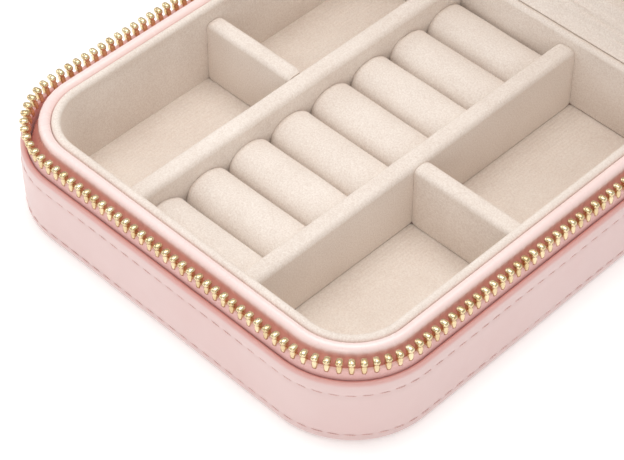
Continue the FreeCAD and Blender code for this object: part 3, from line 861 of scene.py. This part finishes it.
def tape(name, bottom, toothed_top, full_top, way):
    """The woven tape, with a cord along the edge that the teeth clamp."""
    inner = ZIP_MIDDLE - 0.3 * MM
    outer = ZIP_MIDDLE + 0.3 * MM
    reach = abs(toothed_top - bottom)
    profile = [(inner, 0.0), (inner, reach - 1.5 * MM), (inner, reach - 0.9 * MM)]
    profile += arc((ZIP_MIDDLE, reach - 0.5 * MM), 0.5 * MM, 0.5 * MM, 205, -25, 9)
    profile += [(outer, reach - 0.9 * MM)]
    profile += [(outer, height) for height in spread(reach - 1.5 * MM, 0.0, 8)]

    def raised(station, offset, height):
        beyond = smoothly(station[1], ZIP_END + 1.6 * MM, ZIP_END + 3.5 * MM)
        grown = height + beyond * (abs(full_top - toothed_top)) * height / reach
        return offset, bottom + way * grown

    return ring(name, case_outline(gap=GAP, spacing=1.0 * MM, turns=24), profile, shape=raised)


TAPE_REACH = 2.85 * MM
for half, body, box_of, way, shift, leaning in (
    ("lower", "base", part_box, 1, 0.25, 1),
    ("upper", "lid", shut_box, -1, 0.75, 0),
):
    # the sewn edge comes first and the toothed edge last, so the lid's half is read from above
    sewn, free = (corner.z for corner in box_of(half + "_zip_tape")[::way])
    foot = box_of(half + "_zip_teeth")[::way][0].z
    cloth = tape(half + "_tape", sewn, RIM_TOP - way * TAPE_REACH, free, way)
    place(cloth, TAPE, body, half + "_zip_tape")
    place(tooth_row(half + "_teeth", foot, way, shift, leaning), GOLD, body, half + "_zip_teeth")
    place(stops(half + "_stops", foot, way), GOLD, body, half + "_zip_stops")

# ---------------------------------------------------------------- slider, its pin and the pull


def plate(lowest, highest, radii, thickness, matrix, recess=0.0):
    """A flat plate with rounded edges, drawn in its own plane and then placed by the matrix."""
    edge = min(0.22 * MM, thickness * 0.45)
    outline = rounded_outline(lowest, highest, radii, spacing=1.2 * MM, turns=7)
    levels = slab_levels(0.0, thickness, edge, 4)
    if recess:
        border = 0.8 * MM
        levels += [(-border, thickness), (-border - recess, thickness - recess)]
    sections = domed(outline, levels, 0.0, rings=(0.6, 0.15))
    placed = [[matrix @ Vector(point) for point in section] for section in sections]
    return loft_parts(placed, False)


def upright(x, y=0.0, z=0.0):
    """Turns a flat drawing: its X runs along Y, its Y along Z and its thickness along X."""
    return Matrix(((0, 0, 1, x), (1, 0, 0, y), (0, 1, 0, z), (0, 0, 0, 1)))


def facing_back(y):
    """Turns a flat drawing: its X stays along X, its Y runs along Z and its thickness along Y."""
    return Matrix(((1, 0, 0, 0), (0, 0, 1, y), (0, 1, 0, 0), (0, 0, 0, 1)))


def turned(centre, axis, profile, steps=28):
    """A turned part: (radius, distance along the axis) points round a centre line."""
    axis = Vector(axis)
    side = axis.orthogonal().normalized()
    other = axis.cross(side)
    sections = []
    for radius, distance in profile:
        middle = Vector(centre) + axis * distance
        sections.append([middle + side * (radius * u) + other * (radius * v) for u, v in circle(steps)])
    return loft_parts(sections, False)


PIN_LOW, PIN_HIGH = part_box("pull_pin")
PIN = (PIN_LOW + PIN_HIGH) / 2


def slider():
    """Two plates joined by a thin neck, edges turned in over the teeth, and two ears that hold the pin."""
    lowest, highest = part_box("zip_slider")
    plate_thick = 0.7 * MM
    wide = (highest.z - lowest.z) / 2
    channel = 2.4 * MM
    outer_x = HALF_X + ZIP_MIDDLE + channel / 2
    inner_x = HALF_X + ZIP_MIDDLE - channel / 2 - plate_thick
    corner_radii = [1.9 * MM, 1.1 * MM, 1.1 * MM, 1.9 * MM]
    first, last = (lowest.y, RIM_TOP - wide), (highest.y, RIM_TOP + wide)
    plates = [(first, last, corner_radii, plate_thick, upright(x)) for x in (outer_x, inner_x)]
    lip = 0.25 * MM
    for x in (outer_x - lip, inner_x + plate_thick):
        for z in (RIM_TOP - wide + 0.1 * MM, RIM_TOP + wide - 0.6 * MM):
            first, last = (lowest.y + 2.6 * MM, z), (highest.y - 2.2 * MM, z + 0.5 * MM)
            plates.append((first, last, [0.2 * MM] * 4, lip, upright(x)))
    neck = 0.15 * MM
    first, last = (lowest.y + 0.2 * MM, RIM_TOP - neck), (lowest.y + 2.6 * MM, RIM_TOP + neck)
    neck_depth = outer_x - inner_x - plate_thick
    plates.append((first, last, [0.15 * MM] * 4, neck_depth, upright(inner_x + plate_thick)))
    ear = 1.3 * MM
    ear_thick = 0.7 * MM
    ear_radii = [ear * 0.95, ear * 0.95, 0.2 * MM, 0.2 * MM]
    for start in (PIN.y - 0.9 * MM - ear_thick, PIN.y + 0.9 * MM):
        first, last = (outer_x + plate_thick - 0.1 * MM, PIN.z - ear), (highest.x, PIN.z + ear)
        plates.append((first, last, ear_radii, ear_thick, facing_back(start)))
    return merged("slider", [plate(*drawing) for drawing in plates])


def pull_pin():
    radius = (PIN_HIGH.z - PIN_LOW.z) / 2
    head = radius * 1.35
    half = [(head * 0.6, 0), (head, 0.06 * MM), (head, 0.14 * MM), (radius, 0.15 * MM)]
    far = PIN_HIGH.y - PIN_LOW.y + 0.3 * MM
    profile = half + [(reach, far - distance) for reach, distance in reversed(half)]
    centre = (PIN.x, PIN_LOW.y - 0.15 * MM, PIN.z)
    return merged("pull_pin_turned", [turned(centre, (0, 1, 0), profile, 16)])


def pull_tab():
    """A tongue with a raised border, and the eye that turns on the pin."""
    lowest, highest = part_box("pull_tab")
    eye_half = 0.8 * MM
    thick = 1.2 * MM
    bore = 0.56 * MM
    eye = 1.3 * MM
    ring_profile = [(bore, -eye_half), (eye - 0.15 * MM, -eye_half), (eye, 0.15 * MM - eye_half)]
    ring_profile += [(eye, eye_half - 0.15 * MM), (eye - 0.15 * MM, eye_half), (bore, eye_half)]
    sections = []
    for u, v in circle(24):
        sections.append([PIN + Vector((radius * u, along, radius * v)) for radius, along in ring_profile])
    tongue_top = PIN.z - 3.0 * MM
    tongue_radii = [1.2 * MM, 2.2 * MM, 2.2 * MM, 1.2 * MM]
    facing = upright(PIN.x - thick / 2)
    tongue = plate((lowest.y, lowest.z), (highest.y, tongue_top), tongue_radii, thick, facing, 0.3 * MM)
    first, last = (PIN.y - eye_half, tongue_top - 0.6 * MM), (PIN.y + eye_half, PIN.z - eye * 0.8)
    stem = plate(first, last, [0.2 * MM] * 4, thick, facing)
    return merged("pull_tongue", [loft_parts(sections, True), tongue, stem])


place(slider(), GOLD, "zip_slider", "zip_slider")
place(pull_pin(), GOLD, "zip_slider", "pull_pin")
place(pull_tab(), GOLD, "pull_tab", "pull_tab")

# ---------------------------------------------------------------- lid's contents, drawn as they lie when shut

PAD_LOW, PAD_HIGH = shut_box("lid_pad")
PAD_FACE = PAD_LOW.z


def simulated(piece, voxel, pressure, cap, frames=20):
    """Puffs a closed form up as cloth, moves no point by more than the cap, and keeps the result."""
    scene = bpy.context.scene
    bpy.ops.object.select_all(action="DESELECT")
    bpy.context.view_layer.objects.active = piece
    piece.select_set(True)
    remesh = piece.modifiers.new("remesh", "REMESH")
    remesh.mode = "VOXEL"
    remesh.voxel_size = voxel
    bpy.ops.object.modifier_apply(modifier="remesh")
    before = [vertex.co.copy() for vertex in piece.data.vertices]
    cloth = piece.modifiers.new("cloth", "CLOTH")
    cloth.settings.use_pressure = True
    cloth.settings.uniform_pressure_force = pressure
    cloth.settings.effector_weights.gravity = 0
    cloth.settings.quality = 5
    cloth.point_cache.frame_end = frames
    for step in range(1, frames + 1):
        scene.frame_set(step)
    shape = piece.evaluated_get(bpy.context.evaluated_depsgraph_get()).data
    after = [vertex.co.copy() for vertex in shape.vertices]
    piece.modifiers.remove(cloth)
    scene.frame_set(1)
    for vertex, start, end in zip(piece.data.vertices, before, after):
        move = end - start
        if move.length > cap:
            move = move.normalized() * cap
        vertex.co = start + move
    smooth(piece.data)
    piece.data.update()


PAD_SCALE = 20


def lid_pad():
    """The foam pad under the lid's panel, with a sewn channel inside its edge."""
    offset = PAD_HIGH.x - HALF_X + 0.25 * MM
    levels = [(offset - x, PAD_HIGH.z + z) for x, z in ((1.0 * MM, -0.05 * MM), (0.2 * MM, -0.3 * MM))]
    levels += [(offset, (PAD_FACE + PAD_HIGH.z) / 2), (offset - 0.1 * MM, PAD_FACE + 0.7 * MM)]
    levels += [(offset - 0.9 * MM, PAD_FACE + 0.45 * MM)]
    piece = loft("lid_pad_cloth", domed(case_outline(spacing=3 * MM, turns=10), levels, 0.0))
    piece.data.transform(Matrix.Scale(PAD_SCALE, 4))
    simulated(piece, 1.3 * MM * PAD_SCALE, 4.0, 0.45 * MM * PAD_SCALE)
    piece.data.transform(Matrix.Scale(1 / PAD_SCALE, 4))

    def channel(spot):
        depth = outline_offset(spot) - offset
        seam = math.exp(-(((depth + 5 * MM) / (0.7 * MM)) ** 2))
        facing = 1 - smoothly(spot.z, PAD_FACE + 0.5 * MM, PAD_FACE + 1.5 * MM)
        crease = 0.12 * MM * noise.noise(spot * 60) * facing
        floor = max(0.0, PAD_FACE - 0.04 * MM - spot.z)
        return (0, 0, facing * 0.5 * MM * seam + crease + floor)

    nudge(piece, channel)
    return piece


pad_piece = place(lid_pad(), VELVET, "lid", "lid_pad")

POCKET_LOW, POCKET_HIGH = shut_box("elastic_pocket")
HEM_LOW, HEM_HIGH = shut_box("pocket_elastic")
POCKET_HALF = POCKET_HIGH.x
HEM_LIFT = PAD_FACE - (HEM_LOW.z + HEM_HIGH.z) / 2


def bulge(x):
    """The pocket's swell across its width: 1 in the middle, 0 at its sewn sides."""
    return math.sqrt(max(0.0, 1 - abs(x / POCKET_HALF) ** 5))


def pocket_lift(x, share):
    """How far the pocket's cloth stands off the pad: share runs from the sewn bottom, 0, to the mouth, 1."""
    belly = 0.30 * MM + (HEM_LIFT - 0.5 * MM) * bulge(x) * smoothly(share, -0.02, 0.34)
    gather = 0.42 * smoothly(share, 0.35, 1.0) + 0.38 * (1 - smoothly(share, 0.0, 0.4)) + 0.16
    broad_pitch, fine_pitch = 4.6 * MM, 2.7 * MM
    phase = math.tau * x / broad_pitch + 2.2 * noise.noise(Vector((x * 70, share * 1.5, 0.4)))
    second = math.tau * x / fine_pitch + 2.0 * noise.noise(Vector((x * 110, share * 2.0, 5.1)))
    pleat = 0.75 * math.sin(phase) + 0.25 * math.sin(second)
    room = smoothly(POCKET_HALF - abs(x), 0.0, 5 * MM)
    lift = belly + gather * 0.95 * MM * pleat * room * smoothly(share, -0.15, 0.12)
    return max(0.25 * MM, lift)


def pocket_cloth():
    """The gathered pocket: a sheet sewn down round three sides, with pleats drawn up by the elastic."""
    columns, rows = 240, 44
    corner_round = 9 * MM
    vertices = []
    for row in range(rows + 1):
        share = row / rows
        y = POCKET_HIGH.y + (POCKET_LOW.y - 2.2 * MM - POCKET_HIGH.y) * share
        near = max(0.0, 1 - (POCKET_HIGH.y - y) / corner_round)
        half = POCKET_HALF - corner_round * (1 - math.sqrt(1 - near * near))
        for column in range(columns + 1):
            x = half * (2 * column / columns - 1)
            sag = 0.9 * MM * math.sin(math.pi * column / columns) * share
            vertices.append((x, y + sag, PAD_FACE - pocket_lift(x, share)))
    faces = []
    for row in range(rows):
        for column in range(columns):
            corner = row * (columns + 1) + column
            faces.append((corner, corner + 1, corner + columns + 2, corner + columns + 1))
    piece = mesh_object("pocket_cloth", vertices, faces, crease=180)
    work = bmesh.new()
    work.from_mesh(piece.data)
    bmesh.ops.solidify(work, geom=work.faces[:], thickness=0.35 * MM)
    work.to_mesh(piece.data)
    work.free()
    smooth(piece.data)
    return piece


BAND_LOOP = squarish(20, 4)


def pocket_hem():
    """The elastic edge follows the pocket's mouth and comes down to the pad at both ends."""
    sections = []
    for x in spread(-POCKET_HALF + 0.1 * MM, POCKET_HALF - 0.1 * MM, 300):
        y = (HEM_LOW.y + HEM_HIGH.y) / 2 + 0.9 * MM * math.cos(math.pi / 2 * x / POCKET_HALF)
        z = PAD_FACE - 0.75 * MM - (HEM_LIFT - 0.75 * MM) * bulge(x)
        ruffle = math.sin(math.tau * x / (1.5 * MM)) + noise.noise(Vector((x * 300, 0, 0)))
        half_thick = 0.5 * MM * (1 + 0.16 * ruffle)
        sections.append([(x, y + u * 1.45 * MM, z + v * half_thick) for u, v in BAND_LOOP])
    return loft("pocket_hem", sections, crease=60)


hem = pocket_hem()
pocket = place(pocket_cloth(), VELVET, "lid", "elastic_pocket")
place(hem, ELASTIC, "lid", "pocket_elastic")


def soft_panel(name, lowest, highest, radii):
    """A flat cloth-covered strap that hangs face down, with a channel just inside its edge."""
    outline = rounded_outline(lowest, highest, radii, spacing=1.5 * MM, turns=9)
    back, face = highest.z, lowest.z
    levels = [(offset, back - height) for offset, height in slab_levels(0.0, back - face, 0.3 * MM, 5)]
    levels += [(-1.3 * MM, face), (-1.7 * MM, face + 0.14 * MM), (-2.1 * MM, face)]
    return loft(name, domed(outline, levels, -0.12 * MM))


def panel_stitches(name, lowest, highest):
    """Stitches along the four sides of a flat panel that hangs face down."""
    inset, cut, pitch = 1.7 * MM, 1.2 * MM, 2.6 * MM
    height = lowest.z + 0.1 * MM
    x0, x1 = lowest.x + inset, highest.x - inset
    y0, y1 = lowest.y + inset, highest.y - inset
    lines = [((x0 + cut, y, height), (x1 - cut, y, height)) for y in (y0, y1)]
    lines += [((x, y0 + cut, height), (x, y1 - cut, height)) for x in (x0, x1)]
    parts = []
    for start, end in lines:
        run = Vector(end) - Vector(start)
        count = max(1, round(run.length / pitch))
        for step in range(count):
            centre = Vector(start) + run * ((step + 0.5) / count)
            parts.append(stitch(centre, run.normalized(), Vector((0, 0, -1)), 1.9 * MM, 0.13 * MM))
    return merged(name, parts)


for label, body, radii in (
    ("strap", "lid", [1.5 * MM] * 4),
    ("flap", "necklace_flap", [3.0 * MM, 0.8 * MM, 0.8 * MM, 3.0 * MM]),
):
    node = "necklace_" + label
    lowest, highest = shut_box(node)
    place(soft_panel(node + "_cloth", lowest, highest, radii), VELVET, body, node)
    place(panel_stitches(label + "_stitches", lowest, highest), CREAM_THREAD, body)

# shares of the radius and of the height, from the foot to the middle of the top
CAP_SHAPE = [(1.0, 0.0), (1.0, 0.25), (0.96, 0.55), (0.84, 0.86), (0.7, 1.0), (0.5, 0.98), (0.42, 0.82)]
CAP_SHAPE += [(0.2, 0.74)]
STUD_SHAPE = [(1.0, 0.0), (1.0, 0.3), (0.9, 0.45), (0.55, 0.5), (0.5, 0.75), (0.56, 0.9), (0.4, 1.0)]
STUD_SHAPE += [(0.1, 1.0)]
cap_low, cap_high = shut_box("snap_caps")
snap_x = cap_high.x - (cap_high.y - cap_low.y) / 2
snap_y = (cap_low.y + cap_high.y) / 2
for name, node, body, shape in (
    ("snap_cap_pair", "snap_caps", "necklace_flap", CAP_SHAPE),
    ("snap_stud_pair", "snap_studs", "lid", STUD_SHAPE),
):
    lowest, highest = shut_box(node)
    radius = (highest.y - lowest.y) / 2
    tall = highest.z - lowest.z
    profile = [(radius * r, tall * z) for r, z in shape]
    pair = [turned((side * snap_x, snap_y, highest.z), (0, 0, -1), profile) for side in (-1, 1)]
    place(merged(name, pair), GOLD, body, node)

# ---------------------------------------------------------------- soft hinge: leather outside, velvet inside


def ribbon(name, path, half_thick, half_width, columns, flutter=0.0):
    """A strip that follows a path of (y, z) points and is as wide as the hinge along X."""
    sections = []
    for column in range(columns + 1):
        x = -half_width + 2 * half_width * column / columns
        face, back = [], []
        for index, (y, z) in enumerate(path):
            before = path[max(0, index - 1)]
            after = path[min(len(path) - 1, index + 1)]
            run = Vector((after[0] - before[0], after[1] - before[1])).normalized()
            away = Vector((-run.y, run.x))
            middle = 4 * index / len(path) * (1 - index / len(path))
            wave = flutter * middle * noise.noise(Vector((x * 25, index * 0.7, 3.0)))
            spot = Vector((y, z)) + away * wave
            taper = half_thick * (0.45 if index in (0, len(path) - 1) else 1.0)
            face.append((x, *(spot + away * taper)))
            back.append((x, *(spot - away * taper)))
        sections.append(face + back[::-1])
    return loft(name, sections, crease=60)


def place_strip(piece, material, node, start, end):
    """A hinge strip gets its material, hides its CAD node and keeps the shape it is drawn in; it is not
    attached to a body. Its start and end points are not used.
    """
    piece.data.materials.append(material)
    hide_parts(node)
    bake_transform(piece)


def mirrored_path(half):
    """Base half of a path, followed by its mirror image on the lid."""
    other = [(HINGE_Y - (z - HINGE_Z), HINGE_Z - (y - HINGE_Y)) for y, z in reversed(half)]
    return half + other


WALL_INSIDE_Y = HALF_Y + WALL_OUT - WALL_THICK
spine_half = [(WALL_INSIDE_Y - 0.6 * MM, z) for z in spread(WALL_TOP - 3 * MM, WALL_TOP - 0.4 * MM, 4)]
spine_half += [(WALL_INSIDE_Y - 0.3 * MM, WALL_TOP + 0.3 * MM)]
spine_half += [(WALL_INSIDE_Y + 0.5 * MM, WALL_TOP + 1.0 * MM)]
spine_half += [(HINGE_Y - 0.75 * MM, z) for z in spread(WALL_TOP + 1.8 * MM, HINGE_Z - 1.4 * MM, 6)]
spine_half += arc((HINGE_Y + 1.25 * MM, HINGE_Z - 1.25 * MM), 2.0 * MM, 2.0 * MM, 176, 139, 4)
spine = ribbon("hinge_spine_leather", mirrored_path(spine_half), 0.55 * MM, HINGE_HALF, 60, 0.12 * MM)
# the spine's leather takes a fixed share of the warmer salmon tone all over
mark(spine, "edge_paint_and_shade", lambda spot: 0.45)
spine_ends = (HINGE_Y - 0.7 * MM, HINGE_Z - 2.2 * MM), (HINGE_Y + 2.2 * MM, HINGE_Z + 0.7 * MM)
place_strip(spine, SHELL, "hinge_spine", *spine_ends)

HINGE_CLOTH_LOW, HINGE_CLOTH_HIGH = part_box("hinge_lining")
cloth_start = (HINGE_CLOTH_LOW.y + 1.5 * MM, HINGE_CLOTH_LOW.z - 1.2 * MM)
cloth_knee = (HINGE_Y + 0.9 * MM, HINGE_CLOTH_HIGH.z - 0.75 * MM)
cloth_end = (HINGE_CLOTH_HIGH.y - 0.05 * MM, HINGE_CLOTH_HIGH.z - 0.6 * MM)
cloth_path = [cloth_start, (cloth_start[0] + 0.1 * MM, cloth_start[1] + 0.7 * MM)]
for share in spread(0.14, 0.94, 22):
    y, z = Vector(cloth_start).lerp(Vector(cloth_knee), share)
    cloth_path.append((y, z + 0.5 * MM * (1 - math.sin(math.pi * share))))
cloth_path += [cloth_knee, (HINGE_Y + 2.1 * MM, cloth_knee[1] + 0.15 * MM), cloth_end]
hinge_cloth = ribbon("hinge_cloth", cloth_path, 0.5 * MM, HINGE_HALF, 90, 0.45 * MM)
cloth_ends = [(y + 1.0 * MM, z + rise) for (y, z), rise in ((cloth_start, 0.6 * MM), (cloth_knee, 0.3 * MM))]
place_strip(hinge_cloth, VELVET, "hinge_lining", *cloth_ends)

# ---------------------------------------------------------------- camera, light and floor


def studio():
    """A pale floor, a pale surround and large soft lamps."""
    # fitted to the photo: what the camera looks at, from where and how closely
    target = Vector((19.06, -34.51, 24.0)) * MM
    distance = 477.8 * MM
    azimuth = math.radians(44.76)
    elevation = math.radians(46.09)
    focal_length = 131.16
    flat = math.cos(elevation)
    back = Vector((math.sin(azimuth) * flat, -math.cos(azimuth) * flat, math.sin(elevation)))
    camera = bpy.data.cameras.new("camera")
    camera.lens = focal_length
    camera.sensor_width = 36.0
    camera.clip_start = 0.01
    holder = add_object("camera", camera)
    holder.location = target + back * distance
    holder.rotation_euler = back.to_track_quat("Z", "Y").to_euler()
    bpy.context.scene.camera = holder

    world = bpy.data.worlds.new("studio")
    world.use_nodes = True
    surround = world.node_tree.nodes["Background"]
    surround.inputs[0].default_value = linear(255, 254, 253)
    surround.inputs[1].default_value = 0.62
    bpy.context.scene.world = world
    bpy.context.scene.view_settings.view_transform = "Standard"

    lamps = {
        "overhead": ((-0.05, 0.10, 0.75), 0.55, 2.95),
        "left": ((-0.70, -0.25, 0.55), 0.45, 1.1),
        "right": ((0.45, -0.75, 0.40), 0.40, 1.2),
    }
    for name, (spot, width, power) in lamps.items():
        lamp = bpy.data.lights.new(name, "AREA")
        lamp.size = width
        lamp.energy = power
        lamp.color = (1.0, 0.99, 0.98)
        stand = add_object(name, lamp)
        stand.location = spot
        stand.rotation_euler = Vector(spot).to_track_quat("Z", "Y").to_euler()

    reach = 2.5
    corners = [(-reach, -reach, 0), (reach, -reach, 0), (reach, reach, 0), (-reach, reach, 0)]
    floor = mesh_object("studio_floor", corners, [(0, 1, 2, 3)])
    white = linear(255, 255, 255)
    finish = Finish(
        "studio_white", Roughness=0.8, Specular_IOR_Level=0.2, Emission_Color=white, Emission_Strength=0.2
    )
    finish.tint(finish.noise(3, 2), linear(252, 251, 250), linear(248, 247, 246))
    floor.data.materials.append(finish.done())


studio()
